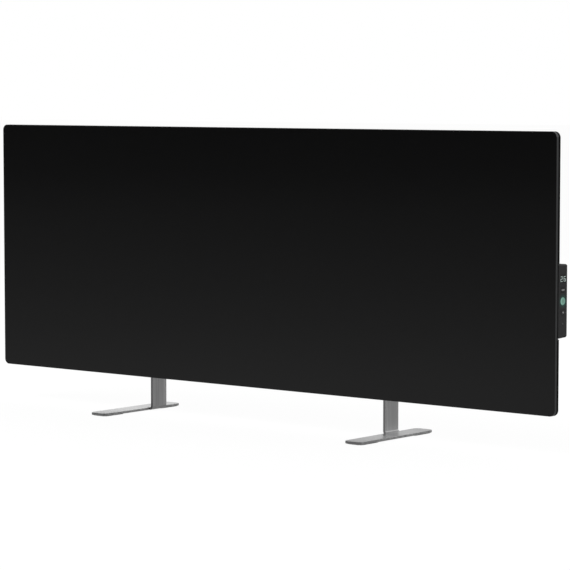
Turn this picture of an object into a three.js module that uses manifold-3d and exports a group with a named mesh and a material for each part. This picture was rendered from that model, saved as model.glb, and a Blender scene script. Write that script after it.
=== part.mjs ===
// Infrared panel heater: two panes of glass with a heating layer between them, standing on two feet of
// bent plate, with a slim control box behind the right-hand edge.
// Millimetres. +X is to the right as one faces the panel, +Y to the back, +Z up. The origin is on the floor
// under the middle of the panel, and Y = 0 is the plane halfway through the glass.

import * as THREE from 'three';
import { mergeVertices } from 'three/addons/utils/BufferGeometryUtils.js';
import Module from 'manifold-3d';

const wasm = await Module();
wasm.setup();

// ---------------------------------------------------------------- driving dimensions

// Glass panel
const PANEL_WIDTH = 1000;
const PANEL_HEIGHT = 365;
const PANEL_CORNER = 8;
const FRONT_PANE = 5;
const REAR_PANE = 4;
const FRONT_EDGE_ROUND = 0.8;
const REAR_EDGE_ROUND = 0.5;

// Heating layer between the panes; margins are measured in from the edge of the glass
const HEATING_LAYER = 0.5;
const SEAL_MARGIN = 2.5;
const SEAL_WIDTH = 7;
const BUS_WIDTH = 6;
const BUS_LEG_WIDTH = 8;

// Feet, each one plate bent twice
const FOOT_PLATE = 3.5;
const FOOT_INNER_BEND = 2.3;
const FOOT_REACH = 211.5;        // middle of the panel to the tab's inner face
const FOOT_DROP = 50.5;          // panel's lower edge to the underside of the bar
const BAR_LENGTH = 165;
const BAR_WIDTH = 30;
const BAR_CORNER = 8;
const BAR_EDGE_ROUND = 0.5;
const TAB_WIDTH = 30;
const RELIEF_WIDTH = 2.5;
const RELIEF_DEPTH = 3.5;
const FLANGE_WIDTH = 34;
const FLANGE_HEIGHT = 60;
const FLANGE_RISE = 14;          // panel's lower edge to the flange's lower edge
const FLANGE_CORNER = 6;
const PAD_THICKNESS = 0.8;
const PAD_CORNER = 7;
const PAD_LENGTH = 42;
const PAD_WIDTH = 27;
const PAD_MARGIN = 3;            // end of the bar to the end of the pad

// Mount blocks bonded to the rear glass, and the screws that go into them
const BLOCK_THICKNESS = 9;
const BLOCK_WIDTH = 42;
const BLOCK_HEIGHT = 66;
const BLOCK_CORNER = 4;
const BLOCK_EDGE_ROUND = 1;
const UPPER_BLOCK_DROP = 47;     // panel's upper edge to the middle of an upper block
const SCREW_SPACING = 36;
const SCREW_SHANK = 5;
const SCREW_POINT = 0.5;         // chamfer at the end of the shank
const SCREW_GRIP = 8;            // length of shank inside the block
const SCREW_HOLE_SPARE = 0.5;    // hole left beyond the end of the shank
const SCREW_HEAD = 9.5;
const SCREW_HEAD_HEIGHT = 2.7;
const SCREW_SOCKET = 3;          // across flats
const SCREW_SOCKET_DEPTH = 1.5;

// Control box
const BOX_WIDTH = 72;
const BOX_HEIGHT = 96.4;
const BOX_DEPTH = 21.4;
const BOX_INSET = 1.5;           // edge of the glass to the box's side face
const BOX_RISE = 147.6;          // panel's lower edge to the middle of the box
const BOX_CORNER = 2.5;
const BOX_EDGE_ROUND = 2;
const BOX_TAPER = 1;             // how much lower the box's back is than its front, at top and at bottom
const BOX_WALL = 2;
const BASE_PLATE = 2;
const BOX_SEAM = 0.3;            // shadow gap between base, cover and fascia

// Screws that hold the cover, and the posts they go into
const POST_END_INSET = 8;        // box's left-hand side to the left-hand posts
const POST_SPACING = 32;
const POST_EDGE_INSET = 7.5;     // box's top and bottom to the posts
const POST_RADIUS = 3.2;
const POST_SHOULDER_RADIUS = 4.6;
const COVER_BOSS_RADIUS = 4;
const COVER_BOSS_HEIGHT = 4.5;
const COVER_SCREW_SHANK = 3;
const COVER_SCREW_LENGTH = 12;
const COVER_SCREW_HEAD = 5.4;
const COVER_SCREW_HEAD_HEIGHT = 1.6;
const COVER_SCREW_SINK = 2;      // depth of the counterbore
const COVER_SCREW_SLOT = 1;
const COVER_SCREW_SLOT_DEPTH = 0.8;

// Fascia that closes the box's right-hand side, and what shows in it
const FASCIA_THICKNESS = 3.5;
const FASCIA_RIM_DEPTH = 2;      // how far the rim behind the fascia reaches into the cover
const FASCIA_RIM_WALL = 1;
const FASCIA_POST_RADIUS = 1.5;
const FASCIA_POST_INSET = 7;     // box's top and bottom to the posts
const CONTROL_PITCH = 14.5;      // from one control to the next, up the fascia
const LENS_WIDTH = 13.4;
const LENS_HEIGHT = 9.4;
const LENS_THICKNESS = 1.5;
const LENS_CORNER = 0.8;
const LENS_LEDGE = 0.8;
const KEY_TRAVEL = 0.5;
const KEY_PROUD = 0.3;
const KEY_FLANGE = 0.8;          // thickness of the flange that keeps a key in
const KEY_FLANGE_LIP = 1;
const KEY_EDGE_ROUND = 0.25;
const KEY_STEM_RADIUS = 1.5;
const POWER_KEY_DIAMETER = 8;
const POWER_KEY_DISH = 0.3;
const RING_WALL = 0.8;
const RING_FLANGE_LIP = 0.5;
const SIDE_KEY_WIDTH = 9;
const SIDE_KEY_HEIGHT = 6.4;
const SIDE_KEY_CORNER = 2;
const INDICATOR_DIAMETER = 4.2;

// Boards and what is on them
const BOARD_THICKNESS = 1.6;
const BOARD_RISE = 2.5;          // base plate to the underside of the main board
const REST_INSET = 4.2;          // main board's lower edge to the middle of its lower rests
const BOARD_WIDTH = 44;
const BOARD_SIDE_GAP = 1;        // cover's left-hand wall to the main board
const BOARD_TOP_GAP = 2.5;       // cover's top wall to the main board
const BOARD_BOTTOM_GAP = 11.5;   // box's bottom to the main board's lower edge
const DISPLAY_BOARD_THICKNESS = 1.25;
const DISPLAY_BOARD_SIDE_GAP = 0.4; // base plate and cover to the display board's long edges
const DISPLAY_BOARD_END_GAP = 5; // box's top and bottom to the display board
const SWITCH_BODY = 6;
const SWITCH_BODY_HEIGHT = 3.2;
const SWITCH_PLUNGER_RADIUS = 1.7;
const SWITCH_PLUNGER_HEIGHT = 0.6;
const RIB_THICKNESS = 1.5;
const RIB_HEIGHT = 4;
const RIB_LENGTH = 6;
const COMPONENT_CORNER = 1;
const COMPONENT_EDGE = 0.5;
const RELAY_ACROSS = 6.5;        // middle of the main board to the middle of the relay
const RELAY_UP = 44;             // main board's lower edge to the middle of the relay, and so on below
const RELAY_WIDTH = 10.2;
const RELAY_HEIGHT = 28.5;
const RELAY_TALL = 12.2;
const TRANSFORMER_ACROSS = -10;
const TRANSFORMER_UP = 48;
const CORE_WIDTH = 14;
const CORE_HEIGHT = 12;
const CORE_TALL = 9;
const BOBBIN_WIDTH = 9;
const BOBBIN_HEIGHT = 17;
const BOBBIN_TALL = 7;
const CAPACITOR_ACROSS = -3;
const CAPACITOR_UP = 64;
const CAPACITOR_DIAMETER = 8;
const CAPACITOR_TALL = 11.5;
const CHIP_ACROSS = -4;
const CHIP_UP = 32;
const CHIP_SIZE = 7;
const CHIP_TALL = 1.2;
const CHIP_EDGE = 0.2;
const TILT_ACROSS = 6;
const TILT_UP = 20;
const TILT_WIDTH = 8;
const TILT_HEIGHT = 9;
const TILT_TALL = 8;
const FUSE_ACROSS = -17;
const FUSE_UP = 22;
const FUSE_RISE = 4;             // board to the fuse's axis
const FUSE_LENGTH = 20;
const FUSE_GLASS = 4.8;
const FUSE_CAP = 5.6;
const FUSE_CAP_LENGTH = 5;
const FUSE_CLIP_WIDTH = 6;
const FUSE_CLIP_LENGTH = 2;
const CUTOUT_UP = 21.6;
const CUTOUT_WIDTH = 16;
const CUTOUT_HEIGHT = 8;
const CUTOUT_THICKNESS = 3.9;
const SENSOR_BEAD = 3.6;
const SENSOR_STEM = 1.6;

// Flat cable from the display board to the main board
const RIBBON_WIDTH = 7.2;
const RIBBON_THICKNESS = 0.6;
const RIBBON_SLACK = 8;          // how straight it leaves each board
const RIBBON_START_OFFSET = 2;   // middle of the display board to where it leaves
const RIBBON_END_INSET = 4;      // main board's edge to where it ends

// Terminals
const MAINS_WIDTH = 14;
const MAINS_HEIGHT = 10;
const MAINS_TALL = 11;
const MAINS_EDGE_INSET = 1;      // main board's lower edge to the terminal
const MAINS_PITCH = 7;
const MAINS_WIRE_HOLE = 3;
const MAINS_WIRE_DEPTH = 6;
const MAINS_WIRE_RISE = 4;       // board to the wire holes
const MAINS_SCREW_HOLE = 3.6;
const MAINS_SCREW_DEPTH = 3;
const TERMINAL_SIZE = 7;
const TERMINAL_LENGTH = 8;
const TERMINAL_INSET = 2;        // main board's edge to the load terminals

// Leads to the bus bars
const LEAD_DIAMETER = 2.6;
const LEAD_BEND = 4;
const UPPER_LEAD_INSET = 13;     // main board's upper edge to the upper lead
const LOWER_LEAD_INSET = 6;      // main board's lower edge to the lower lead
const LEAD_HOLE = 6;
const LEAD_END_INSET = 18.5;     // box's side face to the leads

// Cable gland in the bottom of the box
const GLAND_OFFSET = 23.5;       // box's left-hand side to the gland
const GLAND_BORE = 8;
const GLAND_THREAD = 12;
const GLAND_COLLAR = 14.8;
const GLAND_COLLAR_HEIGHT = 3;
const GLAND_NOSE = 12.6;
const GLAND_NOSE_LENGTH = 7;
const GLAND_NOSE_TIP = 10.8;
const GLAND_NOSE_TAPER = 2.1;    // length over which the nose narrows to its tip
const GLAND_NUT = 14.6;          // across flats
const GLAND_NUT_HEIGHT = 3.5;
const GLAND_BOSS_HEIGHT = 2.9;

// Vents in the bottom of the box, below the room sensor
const VENT_WIDTH = 1.6;
const VENT_LENGTH = 9;
const VENT_COUNT = 4;
const VENT_PITCH = 4;
const VENT_INSET = 26;           // box's side face to the furthest vent

// Clearances
const FIT = 0.3;                 // round anything that sits in a hole, and behind anything that seats
const OVERCUT = 1;               // how far a cutting tool runs past the face it cuts

// ---------------------------------------------------------------- places worked out from the sizes

const panelBottom = PAD_THICKNESS + FOOT_DROP;
const panelTop = panelBottom + PANEL_HEIGHT;
const glassBack = (FRONT_PANE + HEATING_LAYER + REAR_PANE) / 2;
const glassFront = -glassBack;
const layerFront = glassFront + FRONT_PANE;
const layerBack = layerFront + HEATING_LAYER;

const blockBack = glassBack + BLOCK_THICKNESS;
const footOuterBend = FOOT_INNER_BEND + FOOT_PLATE;
const flangeLeft = FOOT_REACH + footOuterBend;
const flangeBottom = panelBottom + FLANGE_RISE;
const flangeTop = flangeBottom + FLANGE_HEIGHT;
const flangeBack = blockBack + FOOT_PLATE;
const blockX = flangeLeft + FLANGE_WIDTH / 2;
const lowerBlockZ = flangeBottom + FLANGE_HEIGHT / 2;
const upperBlockZ = panelTop - UPPER_BLOCK_DROP;

const boxRight = PANEL_WIDTH / 2 - BOX_INSET;
const boxLeft = boxRight - BOX_WIDTH;
const boxMiddleX = boxRight - BOX_WIDTH / 2;
const boxMiddleZ = panelBottom + BOX_RISE;
const boxBottom = boxMiddleZ - BOX_HEIGHT / 2;
const boxTop = boxMiddleZ + BOX_HEIGHT / 2;
const boxBack = glassBack + BOX_DEPTH;
const controlY = glassBack + BOX_DEPTH / 2;
const baseTop = glassBack + BASE_PLATE;
const coverFront = baseTop + BOX_SEAM;
const roofInside = boxBack - BOX_WALL;

const fasciaBack = boxRight - FASCIA_THICKNESS;
const bodyRight = fasciaBack - BOX_SEAM;
const displayZ = boxMiddleZ + 2 * CONTROL_PITCH;
const minusZ = boxMiddleZ + CONTROL_PITCH;
const powerZ = boxMiddleZ;
const plusZ = boxMiddleZ - CONTROL_PITCH;
const indicatorZ = boxMiddleZ - 2 * CONTROL_PITCH;
const ringInner = POWER_KEY_DIAMETER / 2 + FIT;
const ringOuter = ringInner + RING_WALL;
const ringFlangeBack = fasciaBack - FIT - KEY_FLANGE;
const powerFlangeBack = ringFlangeBack - FIT - KEY_FLANGE;
const stemTip = powerFlangeBack - KEY_FLANGE;
const plungerTip = stemTip - KEY_TRAVEL - FIT / 2;
const displayBoardFront = plungerTip - SWITCH_PLUNGER_HEIGHT - SWITCH_BODY_HEIGHT;
const displayBoardBack = displayBoardFront - DISPLAY_BOARD_THICKNESS;

const boardFront = baseTop + BOARD_RISE;
const boardBack = boardFront + BOARD_THICKNESS;
const boardLeft = boxLeft + BOX_WALL + BOARD_SIDE_GAP;
const boardRight = boardLeft + BOARD_WIDTH;
const boardBottom = boxBottom + BOARD_BOTTOM_GAP;
const boardTop = boxTop - BOX_WALL - BOARD_TOP_GAP;
const postXs = [boxLeft + POST_END_INSET, boxLeft + POST_END_INSET + POST_SPACING];
const upperPostZ = boxTop - POST_EDGE_INSET;
const lowerPostZ = boxBottom + POST_EDGE_INSET;
const coverBossFace = boxBack - COVER_BOSS_HEIGHT;
const screwSeat = boxBack - COVER_SCREW_SINK;

const boardMiddleX = (boardLeft + boardRight) / 2;
const displayBoardWidth = roofInside - baseTop - 2 * DISPLAY_BOARD_SIDE_GAP;
const displayBoardHeight = BOX_HEIGHT - 2 * DISPLAY_BOARD_END_GAP;
const cutoutZ = boardBottom + CUTOUT_UP;
const terminalRight = boardRight - TERMINAL_INSET;
const leadX = boxRight - LEAD_END_INSET;
const leadY = boardBack + TERMINAL_SIZE / 2;
const glandX = boxLeft + GLAND_OFFSET;

// ---------------------------------------------------------------- materials

function finish(color, roughness, metalness = 0) {
  return new THREE.MeshStandardMaterial({ color, roughness, metalness });
}

const blackGlass = finish(0x08080a, 0.06);
const heatingFilm = finish(0x2b2a2c, 0.6);
const copper = finish(0xb56b3c, 0.35, 1);
const darkSealant = finish(0x121212, 0.8);
const brushedSteel = finish(0xa9abad, 0.32, 1);
const zincPlate = finish(0xbfc3c6, 0.3, 1);
const padRubber = finish(0x1b1b1b, 0.9);
const blockPlastic = finish(0x222224, 0.6);
const boxPlastic = finish(0x2f3031, 0.55);
const fasciaPlastic = finish(0x2c2d2e, 0.5);
const smokedLens = finish(0x15181a, 0.2);
const digitGreen = finish(0xaec4bc, 0.5);
const lightGuide = finish(0x8fc4b2, 0.4);
const boardGreen = finish(0x1f5a3a, 0.5);
const partBlack = finish(0x1a1a1c, 0.5);
const partBlue = finish(0x2d4f86, 0.5);
const partYellow = finish(0xc9b04a, 0.6);
const partWhite = finish(0xd9d7cf, 0.6);
const fuseGlass = finish(0xcfd6d4, 0.15);
const ribbonGrey = finish(0x9b9b99, 0.6);
const leadRed = finish(0x8c2a22, 0.5);

// ---------------------------------------------------------------- shapes and solids

// A rectangle with round corners, centred at (u, v).
function roundedRectangle(width, height, corner, u = 0, v = 0) {
  const right = width / 2;
  const top = height / 2;
  const shape = new THREE.Shape();
  shape.absarc(u + right - corner, v + top - corner, corner, 0, Math.PI / 2);
  shape.absarc(u - right + corner, v + top - corner, corner, Math.PI / 2, Math.PI);
  shape.absarc(u - right + corner, v - top + corner, corner, Math.PI, 1.5 * Math.PI);
  shape.absarc(u + right - corner, v - top + corner, corner, 1.5 * Math.PI, 2 * Math.PI);
  shape.closePath();
  return shape;
}

// A plain outline through a few points.
function outline(points) {
  return new THREE.Shape(points.map(([u, v]) => new THREE.Vector2(u, v)));
}

// Extrudes a shape to the given depth, with its rim rounded by edge at both ends. A round corner is divided
// into twice as many steps as smooth says.
function extrude(shape, depth, edge, smooth) {
  const geometry = new THREE.ExtrudeGeometry(shape, {
    depth: depth - 2 * edge,
    bevelEnabled: edge > 0,
    bevelThickness: edge,
    bevelSize: edge,
    bevelOffset: -edge,
    bevelSegments: Math.ceil(smooth / 2),
    curveSegments: smooth,
  });
  return geometry.translate(0, 0, edge);
}

const alongX = new THREE.Matrix4().makeBasis(
  new THREE.Vector3(0, 1, 0), new THREE.Vector3(0, 0, 1), new THREE.Vector3(1, 0, 0));
const alongY = new THREE.Matrix4().makeBasis(
  new THREE.Vector3(1, 0, 0), new THREE.Vector3(0, 0, 1), new THREE.Vector3(0, -1, 0));

// Slabs: a shape drawn in Y and Z, in X and Z or in X and Y, between two planes square to it.
function slabX(shape, x0, x1, edge = 0, smooth = 4) {
  return extrude(shape, x1 - x0, edge, smooth).applyMatrix4(alongX).translate(x0, 0, 0);
}

function slabY(shape, y0, y1, edge = 0, smooth = 4) {
  return extrude(shape, y1 - y0, edge, smooth).applyMatrix4(alongY).translate(0, y1, 0);
}

function slabZ(shape, z0, z1, edge = 0, smooth = 4) {
  return extrude(shape, z1 - z0, edge, smooth).translate(0, 0, z0);
}

function block(x0, x1, y0, y1, z0, z1) {
  const geometry = new THREE.BoxGeometry(x1 - x0, y1 - y0, z1 - z0);
  return geometry.translate((x0 + x1) / 2, (y0 + y1) / 2, (z0 + z1) / 2);
}

function rodX(radius, x0, x1, y, z, sides = 24) {
  const geometry = new THREE.CylinderGeometry(radius, radius, x1 - x0, sides);
  return geometry.rotateZ(-Math.PI / 2).translate((x0 + x1) / 2, y, z);
}

function rodY(radius, x, y0, y1, z, sides = 24) {
  return new THREE.CylinderGeometry(radius, radius, y1 - y0, sides).translate(x, (y0 + y1) / 2, z);
}

function rodZ(radius, x, y, z0, z1, sides = 24) {
  const geometry = new THREE.CylinderGeometry(radius, radius, z1 - z0, sides);
  return geometry.rotateX(Math.PI / 2).translate(x, y, (z0 + z1) / 2);
}

// A turned piece: pairs of radius and height, from the lower end up the outside.
function turned(profile, sides) {
  return new THREE.LatheGeometry(profile.map(([radius, height]) => new THREE.Vector2(radius, height)), sides);
}

// A round tube along a curve.
function tube(curve, radius, steps) {
  const section = new THREE.Shape();
  section.absarc(0, 0, radius, 0, 2 * Math.PI);
  return new THREE.ExtrudeGeometry(section, {
    steps,
    extrudePath: curve,
    curveSegments: 6,
    bevelEnabled: false,
  });
}

// Booleans between closed meshes.
function solidOf(geometry) {
  const bare = new THREE.BufferGeometry().setAttribute('position', geometry.getAttribute('position'));
  if (geometry.index) bare.setIndex(geometry.index);
  const merged = mergeVertices(bare);
  return new wasm.Manifold(new wasm.Mesh({
    numProp: 3,
    vertProperties: merged.getAttribute('position').array,
    triVerts: new Uint32Array(merged.index.array),
  }));
}

function geometryOf(solid) {
  const mesh = solid.getMesh();
  const geometry = new THREE.BufferGeometry();
  geometry.setAttribute('position', new THREE.BufferAttribute(mesh.vertProperties, 3));
  geometry.setIndex(new THREE.BufferAttribute(mesh.triVerts, 1));
  geometry.computeVertexNormals();
  return geometry;
}

function join(...geometries) {
  return geometryOf(geometries.map(solidOf).reduce((whole, next) => whole.add(next)));
}

function common(geometry, other) {
  return geometryOf(solidOf(geometry).intersect(solidOf(other)));
}

function cut(geometry, ...tools) {
  return geometryOf(tools.map(solidOf).reduce((whole, tool) => whole.subtract(tool), solidOf(geometry)));
}

// ---------------------------------------------------------------- assembly helper

const heater = new THREE.Group();

function add(name, geometry, material) {
  const mesh = new THREE.Mesh(geometry, material);
  mesh.name = name;
  heater.add(mesh);
}

// The same geometry on the other side of the middle of the panel, its triangles turned to face outward.
function mirrored(geometry) {
  const flipped = geometry.index ? geometry.toNonIndexed() : geometry.clone();
  const place = flipped.getAttribute('position');
  for (let i = 0; i < place.count; i += 3) {
    const [x0, y0, z0] = [place.getX(i), place.getY(i), place.getZ(i)];
    place.setXYZ(i, -place.getX(i + 1), place.getY(i + 1), place.getZ(i + 1));
    place.setXYZ(i + 1, -x0, y0, z0);
    place.setX(i + 2, -place.getX(i + 2));
  }
  flipped.computeVertexNormals();
  return flipped;
}

// Adds one piece on each side of the panel.
function addPair(stem, geometry, material, ending = '') {
  add(`${stem}_right${ending}`, geometry, material);
  add(`${stem}_left${ending}`, mirrored(geometry), material);
}

// ---------------------------------------------------------------- glass panel

// The panel's outline, drawn in by a margin all round.
function panelOutline(margin) {
  const corner = Math.max(PANEL_CORNER - margin, 1);
  const middle = panelBottom + PANEL_HEIGHT / 2;
  return roundedRectangle(PANEL_WIDTH - 2 * margin, PANEL_HEIGHT - 2 * margin, corner, 0, middle);
}

function leadZ(side) {
  return side > 0 ? boardTop - UPPER_LEAD_INSET : boardBottom + LOWER_LEAD_INSET;
}

function leadHole(side, y0, y1) {
  return rodY(LEAD_HOLE / 2, leadX, y0 - OVERCUT, y1 + OVERCUT, leadZ(side));
}

function frontPane() {
  return slabY(panelOutline(0), glassFront, layerFront, FRONT_EDGE_ROUND, 6);
}

// The rear pane is set back beside the control box, flush with the box's side face, so that the joint
// between glass and box shows as one straight line.
function rearPane() {
  const pane = slabY(panelOutline(0), layerBack, glassBack, REAR_EDGE_ROUND, 6);
  const recess = block(boxRight, PANEL_WIDTH / 2 + OVERCUT, layerBack - OVERCUT, glassBack + OVERCUT,
    boxBottom - BOX_SEAM, boxTop + BOX_SEAM);
  return cut(pane, recess, leadHole(1, layerBack, glassBack), leadHole(-1, layerBack, glassBack));
}

function edgeSeal() {
  const ring = panelOutline(SEAL_MARGIN);
  ring.holes.push(panelOutline(SEAL_MARGIN + SEAL_WIDTH));
  return slabY(ring, layerFront, layerBack);
}

// The heated field inside the seal, with a bus bar along its upper and its lower side. Each bar has a leg
// that comes down, or up, the right-hand side to the hole where its lead comes through.
const fieldMargin = SEAL_MARGIN + SEAL_WIDTH + FIT;
const fieldLeft = fieldMargin - PANEL_WIDTH / 2;
const fieldTop = panelTop - fieldMargin;
const fieldBottom = panelBottom + fieldMargin;
const legLeft = leadX - BUS_LEG_WIDTH / 2;
const legRight = leadX + BUS_LEG_WIDTH / 2;

function film() {
  return block(fieldLeft, legLeft - FIT, layerFront, layerBack,
    fieldBottom + BUS_WIDTH, fieldTop - BUS_WIDTH);
}

function busBar(side) {
  const edge = side > 0 ? fieldTop : fieldBottom;
  const inside = edge - side * BUS_WIDTH;
  const end = leadZ(side) - side * LEAD_HOLE / 2;
  const points = [[fieldLeft, edge], [fieldLeft, inside], [legLeft, inside], [legLeft, end],
    [legRight, end], [legRight, edge]];
  return slabY(outline(points), layerFront, layerBack);
}

add('front_glass_pane', frontPane(), blackGlass);
add('rear_glass_pane', rearPane(), blackGlass);
add('heating_film', film(), heatingFilm);
add('bus_bar_upper', busBar(1), copper);
add('bus_bar_lower', busBar(-1), copper);
add('edge_seal', edgeSeal(), darkSealant);

// ---------------------------------------------------------------- mount blocks

// Two threaded holes in each block, one above the other.
function screwZs(blockZ) {
  return [blockZ + SCREW_SPACING / 2, blockZ - SCREW_SPACING / 2];
}

function mountBlock(blockZ) {
  const shape = roundedRectangle(BLOCK_WIDTH, BLOCK_HEIGHT, BLOCK_CORNER, blockX, blockZ);
  const holeEnd = blockBack - SCREW_GRIP - SCREW_HOLE_SPARE;
  const radius = SCREW_SHANK / 2 + FIT;
  const holes = screwZs(blockZ).map((z) => rodY(radius, blockX, holeEnd, blockBack + OVERCUT, z));
  return cut(slabY(shape, glassBack, blockBack, BLOCK_EDGE_ROUND), ...holes);
}

addPair('foot_mount', mountBlock(lowerBlockZ), blockPlastic);
addPair('wall_mount', mountBlock(upperBlockZ), blockPlastic);

// ---------------------------------------------------------------- feet

// A quarter of a bent plate, with a short straight piece at each end that lies in what it joins. Its hollow
// side faces away from (u, v), the corner that the bend rounds off.
function bend(u, v) {
  const shape = new THREE.Shape();
  const centreU = u + footOuterBend;
  const centreV = v + footOuterBend;
  const reach = FOOT_PLATE;
  shape.moveTo(centreU + reach, v);
  shape.lineTo(centreU + reach, v + FOOT_PLATE);
  shape.absarc(centreU, centreV, FOOT_INNER_BEND, 1.5 * Math.PI, Math.PI, true);
  shape.lineTo(u + FOOT_PLATE, centreV + reach);
  shape.lineTo(u, centreV + reach);
  shape.absarc(centreU, centreV, footOuterBend, Math.PI, 1.5 * Math.PI);
  return shape;
}

// The bar lies on its pads, the tab stands up from the bar's inner side, and a flange turned off the
// tab's front edge lies on the mount block. Reliefs at the ends of each bend keep the corners square.
function foot() {
  const barBottom = PAD_THICKNESS;
  const barTop = barBottom + FOOT_PLATE;
  const barInner = FOOT_REACH + footOuterBend;
  const barMiddle = barInner + BAR_WIDTH / 2;
  const tabFront = blockBack;
  const tabBack = tabFront + TAB_WIDTH;
  const bendTop = barBottom + footOuterBend;

  const bar = slabZ(roundedRectangle(BAR_WIDTH, BAR_LENGTH, BAR_CORNER, barMiddle, 0), barBottom, barTop,
    BAR_EDGE_ROUND);
  const lowerBend = slabY(bend(FOOT_REACH, barBottom), tabFront, tabBack);
  const tabOutline = roundedRectangle(TAB_WIDTH, flangeTop - bendTop + FLANGE_CORNER, FLANGE_CORNER,
    (tabFront + tabBack) / 2, (flangeTop + bendTop - FLANGE_CORNER) / 2);
  const tab = slabX(tabOutline, FOOT_REACH, FOOT_REACH + FOOT_PLATE);
  const underTab = block(FOOT_REACH - OVERCUT, FOOT_REACH + FOOT_PLATE + OVERCUT,
    tabFront - OVERCUT, tabBack + OVERCUT, barBottom - FLANGE_CORNER, bendTop);
  const upperCorner = block(FOOT_REACH - OVERCUT, FOOT_REACH + FOOT_PLATE + OVERCUT,
    tabFront - OVERCUT, tabFront + footOuterBend, flangeBottom - RELIEF_WIDTH, flangeTop + OVERCUT);
  const sideBend = slabZ(bend(FOOT_REACH, tabFront), flangeBottom, flangeTop);
  const flangeOutline = roundedRectangle(FLANGE_WIDTH, FLANGE_HEIGHT, FLANGE_CORNER,
    flangeLeft + FLANGE_WIDTH / 2, lowerBlockZ);
  const flange = slabY(flangeOutline, tabFront, flangeBack);
  const flangeRoot = block(flangeLeft, flangeLeft + FLANGE_CORNER, tabFront, flangeBack,
    flangeBottom, flangeTop);
  const tabRoot = block(FOOT_REACH, FOOT_REACH + FOOT_PLATE,
    tabFront, tabFront + FLANGE_CORNER, bendTop, flangeBottom - RELIEF_WIDTH);
  const reliefs = [tabFront - RELIEF_WIDTH, tabBack].map((y) => block(
    barInner - OVERCUT, barInner + RELIEF_DEPTH, y, y + RELIEF_WIDTH, barBottom - OVERCUT, barTop + OVERCUT));
  const holes = screwZs(lowerBlockZ).map((z) => rodY(SCREW_SHANK / 2 + FIT, blockX,
    tabFront - OVERCUT, flangeBack + OVERCUT, z));

  const upright = cut(tab, underTab, upperCorner);
  return cut(join(bar, lowerBend, upright, tabRoot, sideBend, flange, flangeRoot), ...reliefs, ...holes);
}

// A button-head screw with a hexagon socket, along Y with its head to the back.
function footScrew(z) {
  const radius = SCREW_HEAD / 2;
  const shankEnd = blockBack - SCREW_GRIP;
  const length = flangeBack - shankEnd;
  const profile = [[0, 0], [SCREW_SHANK / 2 - SCREW_POINT, 0], [SCREW_SHANK / 2, SCREW_POINT],
    [SCREW_SHANK / 2, length],
    [radius, length], [radius, length + SCREW_HEAD_HEIGHT * 0.25],
    [radius * 0.86, length + SCREW_HEAD_HEIGHT * 0.65], [radius * 0.6, length + SCREW_HEAD_HEIGHT],
    [0, length + SCREW_HEAD_HEIGHT]];
  const socketRadius = SCREW_SOCKET / Math.sqrt(3);
  const socketFloor = length + SCREW_HEAD_HEIGHT - SCREW_SOCKET_DEPTH;
  const socket = rodY(socketRadius, 0, socketFloor, length + SCREW_HEAD_HEIGHT + OVERCUT, 0, 6);
  return cut(turned(profile, 24), socket).translate(blockX, shankEnd, z);
}

function footPad(side) {
  const middleX = FOOT_REACH + footOuterBend + BAR_WIDTH / 2;
  const middleY = side * (BAR_LENGTH / 2 - PAD_MARGIN - PAD_LENGTH / 2);
  const shape = roundedRectangle(PAD_WIDTH, PAD_LENGTH, PAD_CORNER, middleX, middleY);
  return slabZ(shape, 0, PAD_THICKNESS);
}

const [upperScrewZ, lowerScrewZ] = screwZs(lowerBlockZ);
addPair('foot', foot(), brushedSteel);
addPair('foot_screw', footScrew(upperScrewZ), zincPlate, '_upper');
addPair('foot_screw', footScrew(lowerScrewZ), zincPlate, '_lower');
addPair('foot_pad', footPad(-1), padRubber, '_front');
addPair('foot_pad', footPad(1), padRubber, '_rear');

// ---------------------------------------------------------------- control box: base and cover

// The box leans in towards its back, at top and bottom alike: each height above the middle shrinks in step
// with the depth behind the glass.
function taper(geometry) {
  const place = geometry.getAttribute('position');
  const slope = BOX_TAPER / (BOX_HEIGHT / 2) / BOX_DEPTH;
  for (let i = 0; i < place.count; i += 1) {
    const shrink = 1 - slope * (place.getY(i) - glassBack);
    place.setZ(i, boxMiddleZ + (place.getZ(i) - boxMiddleZ) * shrink);
  }
  return geometry;
}

// The whole box's outer form, between two planes square to X and two square to Y.
function boxForm(x0, x1, y0, y1) {
  const shape = roundedRectangle(BOX_WIDTH, BOX_HEIGHT, BOX_CORNER, boxMiddleX, boxMiddleZ);
  const whole = taper(slabY(shape, glassBack - BOX_EDGE_ROUND, boxBack, BOX_EDGE_ROUND));
  return common(whole, block(x0, x1, y0, y1, boxBottom - OVERCUT, boxTop + OVERCUT));
}

// The room inside the cover, drawn in by a margin and cut off at two planes square to X.
function boxRoom(margin, x0, x1) {
  const wall = BOX_WALL + margin;
  const shape = roundedRectangle(BOX_WIDTH - 2 * wall, BOX_HEIGHT - 2 * wall, BOX_CORNER / 2,
    boxMiddleX, boxMiddleZ);
  const room = taper(slabY(shape, baseTop + margin, roofInside - margin));
  return common(room, block(x0, x1, glassBack, boxBack, boxBottom, boxTop));
}

function postPlaces() {
  return postXs.flatMap((x) => [upperPostZ, lowerPostZ].map((z) => [x, z]));
}

// The thermal cut-out lies on the glass in a window of the base, under the main board.
function cutoutBlock(grow, y0, y1) {
  const across = CUTOUT_WIDTH / 2 + grow;
  const up = CUTOUT_HEIGHT / 2 + grow;
  return block(boardMiddleX - across, boardMiddleX + across, y0, y1, cutoutZ - up, cutoutZ + up);
}

// Ribs on the base that hold the display board by its two faces, near its upper and its lower end.
function boardRibs() {
  const faces = [displayBoardBack - FIT - RIB_THICKNESS, displayBoardFront + FIT];
  const spread = displayBoardHeight / 2 - RIB_LENGTH / 2;
  return [spread, -spread].flatMap((z) => faces.map((x) => block(x, x + RIB_THICKNESS,
    glassBack, baseTop + RIB_HEIGHT, boxMiddleZ + z - RIB_LENGTH / 2, boxMiddleZ + z + RIB_LENGTH / 2)));
}

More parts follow.
